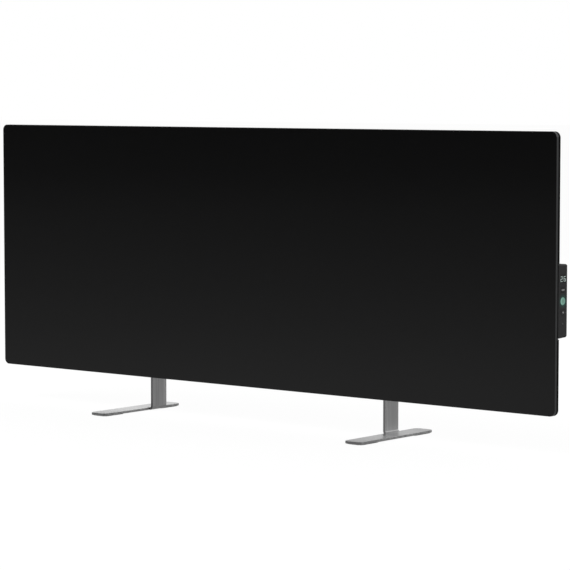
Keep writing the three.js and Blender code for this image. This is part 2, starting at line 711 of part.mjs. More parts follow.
function controlBase() {
  const plate = boxForm(boxLeft, bodyRight, glassBack, baseTop);
  const posts = postPlaces().map(([x, z]) => rodY(POST_RADIUS, x, glassBack, coverBossFace - FIT, z));
  const shoulders = postXs.map((x) => rodY(POST_SHOULDER_RADIUS, x, glassBack, boardFront, upperPostZ));
  const restZ = boardBottom + REST_INSET;
  const rests = postXs.map((x) => rodY(POST_RADIUS, x, glassBack, boardFront, restZ));
  const screwHoles = postPlaces().map(([x, z]) => rodY(COVER_SCREW_SHANK / 2 + FIT, x,
    screwSeat - COVER_SCREW_LENGTH - OVERCUT, coverBossFace, z));
  const window = cutoutBlock(FIT, glassBack - OVERCUT, baseTop + OVERCUT);
  return cut(join(plate, ...posts, ...shoulders, ...rests, ...boardRibs()), ...screwHoles, window,
    leadHole(1, glassBack, baseTop), leadHole(-1, glassBack, baseTop));
}

// The cover's walls and roof. Its right-hand side is open, for the fascia's rim.
function coverShell() {
  const wide = roundedRectangle(BOX_WIDTH - 2 * BOX_WALL, BOX_HEIGHT - 2 * BOX_WALL, BOX_CORNER / 2,
    boxMiddleX, boxMiddleZ);
  const room = taper(slabY(wide, glassBack, roofInside));
  return cut(boxForm(boxLeft, bodyRight, coverFront, boxBack), room);
}

function vents() {
  return Array.from({ length: VENT_COUNT }, (_, i) => {
    const x = boxRight - VENT_INSET + i * VENT_PITCH;
    return block(x, x + VENT_WIDTH, controlY - VENT_LENGTH / 2, controlY + VENT_LENGTH / 2,
      boxBottom - OVERCUT, boxBottom + BOX_WALL + BOX_TAPER + OVERCUT);
  });
}

function controlCover() {
  const bosses = postPlaces().map(([x, z]) => rodY(COVER_BOSS_RADIUS, x,
    coverBossFace, roofInside + OVERCUT, z));
  const glandBoss = rodZ(GLAND_COLLAR / 2, glandX, controlY, boxBottom, boxBottom + GLAND_BOSS_HEIGHT, 32);
  const glandHole = rodZ(GLAND_THREAD / 2 + FIT, glandX, controlY, boxBottom - OVERCUT,
    boxBottom + GLAND_BOSS_HEIGHT + OVERCUT, 32);
  const screwHoles = postPlaces().map(([x, z]) => rodY(COVER_SCREW_SHANK / 2 + FIT, x,
    coverBossFace - OVERCUT, boxBack + OVERCUT, z));
  const counterbores = postPlaces().map(([x, z]) => rodY(COVER_SCREW_HEAD / 2 + FIT, x,
    screwSeat, boxBack + OVERCUT, z));
  return cut(join(coverShell(), ...bosses, glandBoss), glandHole, ...screwHoles, ...counterbores, ...vents());
}

// A cross-slotted screw along Y, its head in the counterbore.
function coverScrew(x, z) {
  const shank = COVER_SCREW_SHANK / 2;
  const head = COVER_SCREW_HEAD / 2;
  const top = COVER_SCREW_LENGTH + COVER_SCREW_HEAD_HEIGHT;
  const profile = [[0, 0], [shank, shank], [shank, COVER_SCREW_LENGTH], [head, COVER_SCREW_LENGTH],
    [head, top - COVER_SCREW_HEAD_HEIGHT / 2], [head * 0.7, top], [0, top]];
  const arm = COVER_SCREW_SLOT / 2;
  const reach = head * 0.6;
  const floor = top - COVER_SCREW_SLOT_DEPTH;
  const slots = [block(-reach, reach, floor, top + OVERCUT, -arm, arm),
    block(-arm, arm, floor, top + OVERCUT, -reach, reach)];
  return cut(turned(profile, 16), ...slots).translate(x, screwSeat - COVER_SCREW_LENGTH, z);
}

add('control_base', controlBase(), boxPlastic);
add('control_cover', controlCover(), boxPlastic);
add('cover_screw_upper_left', coverScrew(postXs[0], upperPostZ), zincPlate);
add('cover_screw_upper_right', coverScrew(postXs[1], upperPostZ), zincPlate);
add('cover_screw_lower_left', coverScrew(postXs[0], lowerPostZ), zincPlate);
add('cover_screw_lower_right', coverScrew(postXs[1], lowerPostZ), zincPlate);

// ---------------------------------------------------------------- fascia, lens, keys and light guides

// The outline of a key or of its hole, grown by a clearance.
function sideKeyOutline(z, grow) {
  return roundedRectangle(SIDE_KEY_WIDTH + 2 * grow, SIDE_KEY_HEIGHT + 2 * grow, SIDE_KEY_CORNER + grow,
    controlY, z);
}

function lensOutline(grow) {
  return roundedRectangle(LENS_WIDTH + 2 * grow, LENS_HEIGHT + 2 * grow, LENS_CORNER + Math.max(grow, 0),
    controlY, displayZ);
}

// The fascia closes the box's side. A rim behind it plugs into the cover, and two posts reach back to the
// display board.
function controlFascia() {
  const face = boxForm(fasciaBack, boxRight, glassBack, boxBack);
  const rimBack = fasciaBack - FASCIA_RIM_DEPTH;
  const rim = cut(boxRoom(FIT, rimBack, fasciaBack),
    boxRoom(FIT + FASCIA_RIM_WALL, rimBack - OVERCUT, fasciaBack));
  const postSpread = BOX_HEIGHT / 2 - FASCIA_POST_INSET;
  const posts = [1, -1].map((side) => rodX(FASCIA_POST_RADIUS, displayBoardFront + FIT, fasciaBack + OVERCUT,
    controlY, boxMiddleZ + side * postSpread, 16));
  const behind = fasciaBack - OVERCUT;
  const tools = [
    slabX(lensOutline(FIT), boxRight - LENS_THICKNESS - FIT, boxRight + OVERCUT),
    slabX(lensOutline(-LENS_LEDGE), behind, boxRight + OVERCUT),
    slabX(sideKeyOutline(minusZ, FIT), behind, boxRight + OVERCUT),
    slabX(sideKeyOutline(plusZ, FIT), behind, boxRight + OVERCUT),
    rodX(ringOuter + FIT, behind, boxRight + OVERCUT, controlY, powerZ, 32),
    rodX(INDICATOR_DIAMETER / 2 + FIT, behind, boxRight + OVERCUT, controlY, indicatorZ, 16),
  ];
  return cut(join(face, rim, ...posts), ...tools);
}

function displayLens() {
  return slabX(lensOutline(0), boxRight - LENS_THICKNESS, boxRight);
}

// Minus and plus: a cap through the fascia, a flange behind it and a stem towards the switch.
function sideKey(z) {
  const flangeFront = fasciaBack - FIT;
  const cap = slabX(sideKeyOutline(z, 0), flangeFront - KEY_FLANGE, boxRight + KEY_PROUD,
    KEY_EDGE_ROUND);
  const flange = slabX(sideKeyOutline(z, FIT + KEY_FLANGE_LIP), flangeFront - KEY_FLANGE, flangeFront);
  const stem = rodX(KEY_STEM_RADIUS, stemTip, flangeFront, controlY, z, 16);
  return join(cap, flange, stem);
}

// Turns a profile drawn up the X axis about the middle of the power key.
function turnedKeyPiece(profile) {
  return turned(profile, 32).rotateZ(-Math.PI / 2).translate(0, controlY, powerZ);
}

function powerKey() {
  const cap = POWER_KEY_DIAMETER / 2;
  const front = boxRight + KEY_PROUD;
  return turnedKeyPiece([[0, stemTip], [KEY_STEM_RADIUS, stemTip], [KEY_STEM_RADIUS, powerFlangeBack],
    [ringInner + KEY_FLANGE_LIP, powerFlangeBack], [ringInner + KEY_FLANGE_LIP, powerFlangeBack + KEY_FLANGE],
    [cap, powerFlangeBack + KEY_FLANGE], [cap, front - POWER_KEY_DISH], [cap - POWER_KEY_DISH, front],
    [cap * 0.7, front - POWER_KEY_DISH * 0.6], [cap * 0.4, front - POWER_KEY_DISH * 0.9],
    [0, front - POWER_KEY_DISH]]);
}

// The ring of clear plastic that lights up round the power key.
function powerRing() {
  const flangeRadius = ringOuter + FIT + RING_FLANGE_LIP;
  const flangeFront = fasciaBack - FIT;
  return turnedKeyPiece([[ringInner, ringFlangeBack], [flangeRadius, ringFlangeBack],
    [flangeRadius, flangeFront], [ringOuter, flangeFront], [ringOuter, boxRight], [ringInner, boxRight],
    [ringInner, ringFlangeBack]]);
}

function indicatorPipe() {
  const radius = INDICATOR_DIAMETER / 2;
  const flangeFront = fasciaBack - FIT;
  const profile = [[0, displayBoardFront + FIT], [radius, displayBoardFront + FIT],
    [radius, flangeFront - KEY_FLANGE], [radius + FIT + KEY_FLANGE_LIP, flangeFront - KEY_FLANGE],
    [radius + FIT + KEY_FLANGE_LIP, flangeFront], [radius, flangeFront], [radius, boxRight], [0, boxRight]];
  return turned(profile, 16).rotateZ(-Math.PI / 2).translate(0, controlY, indicatorZ);
}

add('control_fascia', controlFascia(), fasciaPlastic);
add('display_lens', displayLens(), smokedLens);
add('minus_key', sideKey(minusZ), fasciaPlastic);
add('power_key', powerKey(), fasciaPlastic);
add('plus_key', sideKey(plusZ), fasciaPlastic);
add('power_ring', powerRing(), lightGuide);
add('indicator_pipe', indicatorPipe(), lightGuide);

// ---------------------------------------------------------------- display board

function displayBoard() {
  const across = displayBoardWidth / 2;
  const up = displayBoardHeight / 2;
  return block(displayBoardBack, displayBoardFront, controlY - across, controlY + across,
    boxMiddleZ - up, boxMiddleZ + up);
}

function digitDisplay() {
  const shape = roundedRectangle(LENS_WIDTH, LENS_HEIGHT, LENS_CORNER, controlY, displayZ);
  return slabX(shape, displayBoardFront, fasciaBack - FIT);
}

function keySwitch(z) {
  const half = SWITCH_BODY / 2;
  const bodyFront = displayBoardFront + SWITCH_BODY_HEIGHT;
  const body = block(displayBoardFront, bodyFront, controlY - half, controlY + half, z - half, z + half);
  return join(body, rodX(SWITCH_PLUNGER_RADIUS, bodyFront - OVERCUT, plungerTip, controlY, z, 16));
}

add('display_board', displayBoard(), boardGreen);
add('digit_display', digitDisplay(), digitGreen);
add('minus_switch', keySwitch(minusZ), partBlack);
add('power_switch', keySwitch(powerZ), partBlack);
add('plus_switch', keySwitch(plusZ), partBlack);

// ---------------------------------------------------------------- main board

function mainBoard() {
  const board = block(boardLeft, boardRight, boardFront, boardBack, boardBottom, boardTop);
  const holes = postXs.map((x) => rodY(POST_RADIUS + FIT, x,
    boardFront - OVERCUT, boardBack + OVERCUT, upperPostZ));
  return cut(board, ...holes);
}

// A component on the main board: how far across and up it is, its outline and how tall it stands.
function component(across, up, width, height, tall, edge = COMPONENT_EDGE) {
  const shape = roundedRectangle(width, height, COMPONENT_CORNER, boardMiddleX + across, boardBottom + up);
  return slabY(shape, boardBack, boardBack + tall, edge, 1);
}

function relay() {
  return component(RELAY_ACROSS, RELAY_UP, RELAY_WIDTH, RELAY_HEIGHT, RELAY_TALL);
}

function transformer() {
  const core = component(TRANSFORMER_ACROSS, TRANSFORMER_UP, CORE_WIDTH, CORE_HEIGHT, CORE_TALL);
  const bobbin = component(TRANSFORMER_ACROSS, TRANSFORMER_UP, BOBBIN_WIDTH, BOBBIN_HEIGHT, BOBBIN_TALL);
  return join(core, bobbin);
}

function capacitor() {
  return rodY(CAPACITOR_DIAMETER / 2, boardMiddleX + CAPACITOR_ACROSS, boardBack, boardBack + CAPACITOR_TALL,
    boardBottom + CAPACITOR_UP);
}

function controlChip() {
  return component(CHIP_ACROSS, CHIP_UP, CHIP_SIZE, CHIP_SIZE, CHIP_TALL, CHIP_EDGE);
}

function tiltSwitch() {
  return component(TILT_ACROSS, TILT_UP, TILT_WIDTH, TILT_HEIGHT, TILT_TALL);
}

// A glass tube with a cap at each end, each cap in a clip on the board.
function fuse() {
  const axisY = boardBack + FUSE_RISE;
  const x = boardMiddleX + FUSE_ACROSS;
  const middle = boardBottom + FUSE_UP;
  const half = FUSE_LENGTH / 2;
  const glass = rodZ(FUSE_GLASS / 2, x, axisY, middle - half, middle + half, 16);
  const ends = [-1, 1].flatMap((side) => {
    const capMiddle = middle + side * (half - FUSE_CAP_LENGTH / 2);
    return [
      rodZ(FUSE_CAP / 2, x, axisY, capMiddle - FUSE_CAP_LENGTH / 2, capMiddle + FUSE_CAP_LENGTH / 2, 16),
      block(x - FUSE_CLIP_WIDTH / 2, x + FUSE_CLIP_WIDTH / 2, boardBack, axisY,
        capMiddle - FUSE_CLIP_LENGTH / 2, capMiddle + FUSE_CLIP_LENGTH / 2),
    ];
  });
  return join(glass, ...ends);
}

// Two screw clamps, with the wire holes on the side of the gland.
function mainsTerminal() {
  const low = boardBottom + MAINS_EDGE_INSET;
  const top = boardBack + MAINS_TALL;
  const body = block(glandX - MAINS_WIDTH / 2, glandX + MAINS_WIDTH / 2, boardBack, top,
    low, low + MAINS_HEIGHT);
  const holes = [-1, 1].flatMap((side) => {
    const x = glandX + side * MAINS_PITCH / 2;
    return [
      rodZ(MAINS_WIRE_HOLE / 2, x, boardBack + MAINS_WIRE_RISE, low - OVERCUT, low + MAINS_WIRE_DEPTH, 12),
      rodY(MAINS_SCREW_HOLE / 2, x, top - MAINS_SCREW_DEPTH, top + OVERCUT, low + MAINS_HEIGHT / 2, 12),
    ];
  });
  return cut(body, ...holes);
}

// A clamp for one lead, near the board's right-hand edge.
function loadTerminal(side) {
  const z = leadZ(side);
  const half = TERMINAL_SIZE / 2;
  return block(terminalRight - TERMINAL_LENGTH, terminalRight, boardBack, boardBack + TERMINAL_SIZE,
    z - half, z + half);
}

// A lead starts on the bus bar, passes through the rear pane and the base, and turns into its terminal.
function lead(side) {
  const z = leadZ(side);
  const path = new THREE.CurvePath();
  const bendStart = new THREE.Vector3(leadX, leadY - LEAD_BEND, z);
  const corner = new THREE.Vector3(leadX, leadY, z);
  const bendEnd = new THREE.Vector3(leadX - LEAD_BEND, leadY, z);
  path.add(new THREE.LineCurve3(new THREE.Vector3(leadX, layerBack + FIT, z), bendStart));
  path.add(new THREE.QuadraticBezierCurve3(bendStart, corner, bendEnd));
  path.add(new THREE.LineCurve3(bendEnd, new THREE.Vector3(terminalRight + FIT, leadY, z)));
  return tube(path, LEAD_DIAMETER / 2, 16);
}

// The flat cable leaves the display board straight, sags and comes down on to the main board.
function ribbonCable() {
  const start = new THREE.Vector2(displayBoardBack - FIT, controlY + RIBBON_START_OFFSET);
  const end = new THREE.Vector2(boardRight - RIBBON_END_INSET, boardBack + FIT);
  const run = new THREE.CubicBezierCurve(start, new THREE.Vector2(start.x - RIBBON_SLACK, start.y),
    new THREE.Vector2(end.x, end.y + RIBBON_SLACK), end);
  const steps = 12;
  const side = (offset) => Array.from({ length: steps + 1 }, (_, i) => {
    const along = run.getTangent(i / steps);
    const point = run.getPoint(i / steps);
    return new THREE.Vector2(point.x - offset * along.y, point.y + offset * along.x);
  });
  const shape = new THREE.Shape([...side(RIBBON_THICKNESS / 2), ...side(-RIBBON_THICKNESS / 2).reverse()]);
  return slabZ(shape, boxMiddleZ - RIBBON_WIDTH, boxMiddleZ);
}

function thermalCutout() {
  return cutoutBlock(0, glassBack, glassBack + CUTOUT_THICKNESS);
}

// A sealed bead on a stem, hanging off the board's lower edge above the vents.
function roomSensor() {
  const bead = SENSOR_BEAD / 2;
  const stem = SENSOR_STEM / 2;
  const beadBottom = boxBottom + BOX_WALL + BOX_TAPER;
  const height = boardBottom - FIT - beadBottom;
  const profile = [[0, 0], [bead * 0.7, bead * 0.3], [bead, bead], [bead, 2 * bead], [stem, 3 * bead],
    [stem, height], [0, height]];
  return turned(profile, 16).rotateX(Math.PI / 2)
    .translate(boardRight - bead + FIT, (boardFront + boardBack) / 2, beadBottom);
}

add('main_board', mainBoard(), boardGreen);
add('relay', relay(), partBlue);
add('transformer', transformer(), partYellow);
add('smoothing_capacitor', capacitor(), partBlack);
add('fuse', fuse(), fuseGlass);
add('mains_terminal', mainsTerminal(), partWhite);
add('control_chip', controlChip(), partBlack);
add('tilt_switch', tiltSwitch(), partWhite);
add('load_terminal_upper', loadTerminal(1), partWhite);
add('load_terminal_lower', loadTerminal(-1), partWhite);
add('lead_upper', lead(1), leadRed);
add('lead_lower', lead(-1), leadRed);
add('ribbon_cable', ribbonCable(), ribbonGrey);
add('thermal_cutout', thermalCutout(), partBlack);
add('room_sensor', roomSensor(), partBlack);

// ---------------------------------------------------------------- cable gland

const glandSeat = boxBottom - FIT;
const nutSeat = boxBottom + GLAND_BOSS_HEIGHT + FIT;

function cableGland() {
  const bore = GLAND_BORE / 2;
  const nose = GLAND_NOSE / 2;
  const collar = GLAND_COLLAR / 2;
  const thread = GLAND_THREAD / 2;
  const collarBottom = glandSeat - GLAND_COLLAR_HEIGHT;
  const low = collarBottom - GLAND_NOSE_LENGTH;
  const threadEnd = nutSeat + GLAND_NUT_HEIGHT + OVERCUT;
  const profile = [[bore, low], [GLAND_NOSE_TIP / 2, low], [nose, low + GLAND_NOSE_TAPER],
    [nose, collarBottom], [collar, collarBottom], [collar, glandSeat], [thread, glandSeat],
    [thread, threadEnd], [bore, threadEnd], [bore, low]];
  return turned(profile, 32).rotateX(Math.PI / 2).translate(glandX, controlY, 0);
}

function glandNut() {
  const hexagon = GLAND_NUT / Math.sqrt(3);
  const body = rodZ(hexagon, 0, 0, nutSeat, nutSeat + GLAND_NUT_HEIGHT, 6).rotateZ(Math.PI / 6);
  const hole = rodZ(GLAND_THREAD / 2 + FIT, 0, 0,
    nutSeat - OVERCUT, nutSeat + GLAND_NUT_HEIGHT + OVERCUT, 32);
  return cut(body, hole).translate(glandX, controlY, 0);
}

add('cable_gland', cableGland(), blockPlastic);
add('gland_nut', glandNut(), blockPlastic);

export default heater;
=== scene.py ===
# Infrared panel heater: two glass panes with a heating film between them, on two feet of bent steel,
# with a slim plastic control box behind the right-hand edge. Metres; X to the right, Y to the back, Z up.
import math

import bmesh
import bpy
import numpy as np
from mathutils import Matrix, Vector


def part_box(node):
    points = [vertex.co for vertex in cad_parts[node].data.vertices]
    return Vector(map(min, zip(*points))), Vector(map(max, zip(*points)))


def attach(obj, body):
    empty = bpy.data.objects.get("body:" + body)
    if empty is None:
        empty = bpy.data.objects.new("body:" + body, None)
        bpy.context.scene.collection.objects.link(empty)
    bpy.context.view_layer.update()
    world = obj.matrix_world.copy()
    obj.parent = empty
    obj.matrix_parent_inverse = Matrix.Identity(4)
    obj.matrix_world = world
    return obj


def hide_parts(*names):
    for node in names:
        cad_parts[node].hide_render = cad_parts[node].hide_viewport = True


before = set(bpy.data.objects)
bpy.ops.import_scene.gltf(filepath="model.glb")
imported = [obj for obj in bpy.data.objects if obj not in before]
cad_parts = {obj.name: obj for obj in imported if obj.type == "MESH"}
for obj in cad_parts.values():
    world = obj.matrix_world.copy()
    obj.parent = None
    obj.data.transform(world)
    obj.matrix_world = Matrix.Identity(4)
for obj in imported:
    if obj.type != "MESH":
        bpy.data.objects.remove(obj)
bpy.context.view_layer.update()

# ---------------------------------------------------------------- the view and the room
# The camera stands 3.5 m away, to the right of the heater and a little above it. The floor is pale and
# the room white; a curved card that only reflections see keeps the black glass dark.
look_down = 4.463         # degrees
look_left = 39.33


def in_scene(name, data):
    """A new object at the origin, for a mesh, a lamp or a camera."""
    made = bpy.data.objects.new(name, data)
    bpy.context.collection.objects.link(made)
    return made


view = bpy.data.cameras.new("view")
view.lens = 158.67
view.sensor_width = 36.0
view.clip_end = 100.0
camera = in_scene("view", view)
camera.location = (2.2566, -2.69255, 0.4702)
camera.rotation_euler = (math.radians(90.0 - look_down), 0.0, math.radians(look_left))
bpy.context.scene.camera = camera
bpy.context.scene.view_settings.view_transform = "Standard"


def adder(tree):
    """add(kind, inputs, **settings): an input is a number, a colour, or the socket that feeds it."""
    def add(kind, inputs=None, **settings):
        node = tree.nodes.new("ShaderNode" + kind)
        for key, value in settings.items():
            setattr(node, key, value)
        for key, value in (inputs or {}).items():
            if isinstance(value, bpy.types.NodeSocket):
                tree.links.new(value, node.inputs[key])
            else:
                node.inputs[key].default_value = value
        return node
    return add


def node_tree(owner):
    """Empties the nodes of a material or a world, and gives the function that adds new ones."""
    owner.use_nodes = True
    owner.node_tree.nodes.clear()
    return adder(owner.node_tree)


def seen_white(add):
    """1 for camera, glossy and transmitted rays, 0 for the rays that carry light from surface to surface."""
    path = add("LightPath")
    direct = add("Math", {0: path.outputs["Is Camera Ray"], 1: path.outputs["Is Glossy Ray"]},
                 operation="MAXIMUM")
    return add("Math", {0: direct.outputs[0], 1: path.outputs["Is Transmission Ray"]},
               operation="MAXIMUM")


pure_white = (1.0, 1.0, 1.0, 1.0)
room_light = 0.55         # what the walls of the room give to the heater
room = bpy.data.worlds.new("room")
bpy.context.scene.world = room
add = node_tree(room)
lit = add("Background", {"Color": pure_white, "Strength": room_light})
shown = add("Background", {"Color": pure_white, "Strength": 1.0})
both = add("MixShader", {0: seen_white(add).outputs[0], 1: lit.outputs[0], 2: shown.outputs[0]})
add("OutputWorld", {"Surface": both.outputs[0]})

white_share = 0.88        # the rest of the floor is paint that takes the shadow
white_glow = 1.05
floor_paint = bpy.data.materials.new("floor_paint")
add = node_tree(floor_paint)
seen = add("Math", {0: seen_white(add).outputs[0], 1: white_share}, operation="MULTIPLY")
paint = add("BsdfDiffuse", {"Color": (0.82, 0.82, 0.82, 1.0)})
white = add("Emission", {"Color": pure_white, "Strength": white_glow})
both = add("MixShader", {0: seen.outputs[0], 1: paint.outputs[0], 2: white.outputs[0]})
add("OutputMaterial", {"Surface": both.outputs[0]})


def grid_mesh(name, points, around=False, ends=False):
    """Mesh on a grid of points: each face joins (i, j), (i, j+1), (i+1, j+1) and (i+1, j). `around` closes
    each row on itself, and `ends` fills the first and the last row, which makes the piece a closed one."""
    rows, columns = points.shape[:2]
    i = np.arange(rows - 1)[:, None]
    j = np.arange(columns if around else columns - 1)[None, :]
    beside = (j + 1) % columns
    quads = [i * columns + j, i * columns + beside, (i + 1) * columns + beside, (i + 1) * columns + j]
    faces = np.stack(quads, -1).reshape(-1, 4).tolist()
    if ends:
        faces += [list(range(columns)), list(range((rows - 1) * columns, rows * columns))]
    mesh = bpy.data.meshes.new(name)
    mesh.from_pydata(points.reshape(-1, 3).tolist(), [], faces)
    if ends:
        work = bmesh.new()
        work.from_mesh(mesh)
        bmesh.ops.recalc_face_normals(work, faces=work.faces)
        work.to_mesh(mesh)
        work.free()
    return in_scene(name, mesh)


floor_half = 25.0
reach = np.linspace(-floor_half, floor_half, 3)
floor = grid_mesh("floor", np.stack(np.meshgrid(reach, reach, [0.0], indexing="ij"), -1)[:, :, 0])
floor.data.materials.append(floor_paint)

hall_reach = 6.0          # from the heater to the card's wall
hall_height = 3.0
card_lift = 0.0003        # over the floor
roof_hole = 0.01
wall_foot = hall_reach    # these three are metres along the profile, out from the heater
wall_top = wall_foot + hall_height
roof_end = wall_top + hall_reach


def card_points(along, turn):
    """A hall swept round Z: a point is (out cos turn, out sin turn, up). Its profile runs out along the
    floor, up the wall and back in along a roof, and `along` is the way run on it."""
    stations = [0.0, wall_foot, wall_top, roof_end]
    out = np.interp(along, stations, [0.0, hall_reach, hall_reach, roof_hole])
    up = np.interp(along, stations, [card_lift, card_lift, hall_height, hall_height])
    return np.stack([out * np.cos(turn), out * np.sin(turn), up], -1)


def smooth_step(value, low, high):
    """0 below low, 1 above high, and 3t^2 - 2t^3 between, where t runs from 0 to 1."""
    t = np.clip((value - low) / (high - low), 0.0, 1.0)
    return t * t * (3.0 - 2.0 * t)


def tones(along, *pairs):
    """Brightness along the profile: straight from each (metres along, brightness) to the next."""
    return np.interp(along, *zip(*pairs))


def card_glow(along, turn):
    """Brightness by place on the card, of which the first 6 m are floor, the next 3 m wall and the last
    6 m roof. It falls along the floor away from the heater and up the foot of the wall, then comes back
    to white: low on the wall behind the heater, where the left is brighter than the right, and only at
    the rear of the roof for what is in front."""
    front = smooth_step(-np.sin(turn), -0.35, 0.25)
    left = smooth_step(-np.cos(turn), 0.45, 0.80)
    right = smooth_step(np.cos(turn), 0.10, 0.50)
    ahead = tones(along, (0.0, 0.38), (0.45, 0.36), (1.0, 0.31), (1.5, 0.27), (2.5, 0.22), (4.0, 0.18),
                  (5.2, 0.16), (6.0, 0.15), (6.15, 0.10), (6.33, 0.075), (6.8, 0.05), (9.0, 0.08),
                  (15.0, 0.30))
    aside = tones(along, (0.0, 0.38), (0.5, 0.37), (1.5, 0.27), (6.0, 0.18), (6.38, 0.20), (6.60, 0.65),
                  (7.5, 1.0), (13.0, 1.0), (15.0, 0.30))
    behind = tones(along, (0.0, 0.36), (0.4, 0.30), (0.9, 0.08), (6.0, 0.03), (6.38, 0.03))
    wall = 0.64 + 0.66 * left
    wall_share = smooth_step(along, 6.36, 6.56) * (1.0 - 0.7 * smooth_step(along, 13.0, 15.0))
    behind = behind * (1.0 - wall_share) + wall * wall_share
    behind = right * aside + (1.0 - right) * behind
    return front * ahead + (1.0 - front) * behind


fine_band = 1.0           # this much of the wall, from its foot, has close rows, as the tone changes fast
profile = np.concatenate([np.linspace(0.0, wall_foot, 61),
                          wall_foot + np.linspace(0.02, fine_band, 50),
                          np.linspace(wall_foot + fine_band + 0.1, roof_end, 40)])
along, turn = np.meshgrid(profile, np.radians(np.arange(0.0, 360.0, 4.0)), indexing="ij")
card = grid_mesh("card", card_points(along, turn), around=True)
glow = card.data.attributes.new("glow", "FLOAT", "POINT")
glow.data.foreach_set("value", card_glow(along, turn).astype(np.float32).ravel())
card_paint = bpy.data.materials.new("card_paint")
add = node_tree(card_paint)
tone = add("Attribute", attribute_name="glow")
light = add("Emission", {"Color": pure_white, "Strength": tone.outputs["Fac"]})
add("OutputMaterial", {"Surface": light.outputs[0]})
card.data.materials.append(card_paint)
for sight in ("camera", "diffuse", "transmission", "shadow", "volume_scatter"):
    setattr(card, "visible_" + sight, False)

for name, place, aim, across, power in (
        ("lamp_over", (-0.9, -1.5, 2.3), (0.0, 0.0, 0.2), 1.8, 26.0),
        ("lamp_side", (2.9, 0.6, 1.6), (0.4, 0.0, 0.2), 1.4, 20.0),
        ("lamp_back", (-0.8, 2.6, 1.8), (0.0, 0.0, 0.2), 1.6, 22.0)):
    lamp = bpy.data.lights.new(name, "AREA")
    lamp.size = across
    lamp.energy = power
    holder = in_scene(name, lamp)
    holder.location = place
    holder.rotation_euler = (Vector(aim) - Vector(place)).to_track_quat("-Z", "Y").to_euler()
    holder.visible_glossy = name == "lamp_side"    # the others would show as white squares in the glass

# ---------------------------------------------------------------- glass panes
# Two sheets of black-backed safety glass, bonded face to face with the film between them. The front one
# is 5 mm thick with its edge ground round; the rear one is 4 mm thick, its edge painted black.
pane_corner = 0.008
pane_crease = 40.0        # degrees between faces that keep a sharp line


def rounded_outline(half_across, half_up, corner, steps):
    """A rectangle with round corners: from each corner's centre, corner times (cos a, sin a) over a
    quarter turn, the four quarters one after another."""
    turn = np.radians(np.linspace(0.0, 90.0, steps + 1))
    parts = []
    for quarter, (side, rise) in enumerate(((1, 1), (-1, 1), (-1, -1), (1, -1))):
        angle = turn + quarter * math.pi / 2
        parts.append(np.stack([side * (half_across - corner) + corner * np.cos(angle),
                               rise * (half_up - corner) + corner * np.sin(angle)], -1))
    return np.concatenate(parts)


def edge_profile(thickness, round_low, round_high, steps):
    """(inset, height) over an edge: a quarter circle up from the low face, straight, and a quarter circle
    in to the high face. A ring a little further in on each face keeps that face flat."""
    further_in = 1.3
    turn = np.radians(np.linspace(0.0, 90.0, steps + 1))
    low = np.stack([round_low * (1.0 - np.sin(turn)), round_low * (1.0 - np.cos(turn))], -1)
    high = np.stack([round_high * (1.0 - np.cos(turn)), thickness - round_high * (1.0 - np.sin(turn))], -1)
    first, last = [[round_low * further_in, 0.0]], [[round_high * further_in, thickness]]
    return np.concatenate([first, low, high, last])


def round_plate(name, low, high, axis, corner, round_low, round_high, steps=8, edge_steps=5, recess=None):
    """A flat piece that fills the box from low to high, its outline pulled in by the edge profile's inset
    at each height along `axis` (0, 1 or 2). `recess` is (depth, start, end): between start and end the
    right-hand side stands back by depth."""
    least_corner = 0.00001
    low, high = np.array(low), np.array(high)
    others = [k for k in range(3) if k != axis]
    middle, half = (low + high) / 2, (high - low) / 2
    rings = []
    for inset, height in edge_profile(high[axis] - low[axis], round_low, round_high, edge_steps):
        flat = rounded_outline(half[others[0]] - inset, half[others[1]] - inset,
                               max(corner - inset, least_corner), steps)
        if recess:
            edge, (depth, start, end) = half[others[0]] - inset, recess
            flat = np.vstack([flat, [(edge, start - inset), (edge - depth, start - inset),
                                     (edge - depth, end + inset), (edge, end + inset)]])
        ring = np.empty((len(flat), 3))
        ring[:, others[0]] = middle[others[0]] + flat[:, 0]
        ring[:, others[1]] = middle[others[1]] + flat[:, 1]
        ring[:, axis] = low[axis] + height
        rings.append(ring)
    return grid_mesh(name, np.array(rings), around=True, ends=True)


def smooth_faces(piece, crease=None):
    """Shades the piece smooth, with each corner's normal taken from its larger faces. Faces that meet at
    more than `crease` degrees keep a sharp line between them."""
    piece.data.polygons.foreach_set("use_smooth", np.ones(len(piece.data.polygons), dtype=bool))
    if crease:
        piece.data.set_sharp_from_angle(angle=math.radians(crease))
    even = piece.modifiers.new("even", "WEIGHTED_NORMAL")
    even.keep_sharp = True


def fit(piece, coat, slot, *nodes, body="heater"):
    """Gives the piece its material, and says which body it rides on and which nodes it replaces. The slot is
    not used.
    """
    piece.data.materials.append(coat)
    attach(piece, body)
    if nodes:
        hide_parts(*nodes)


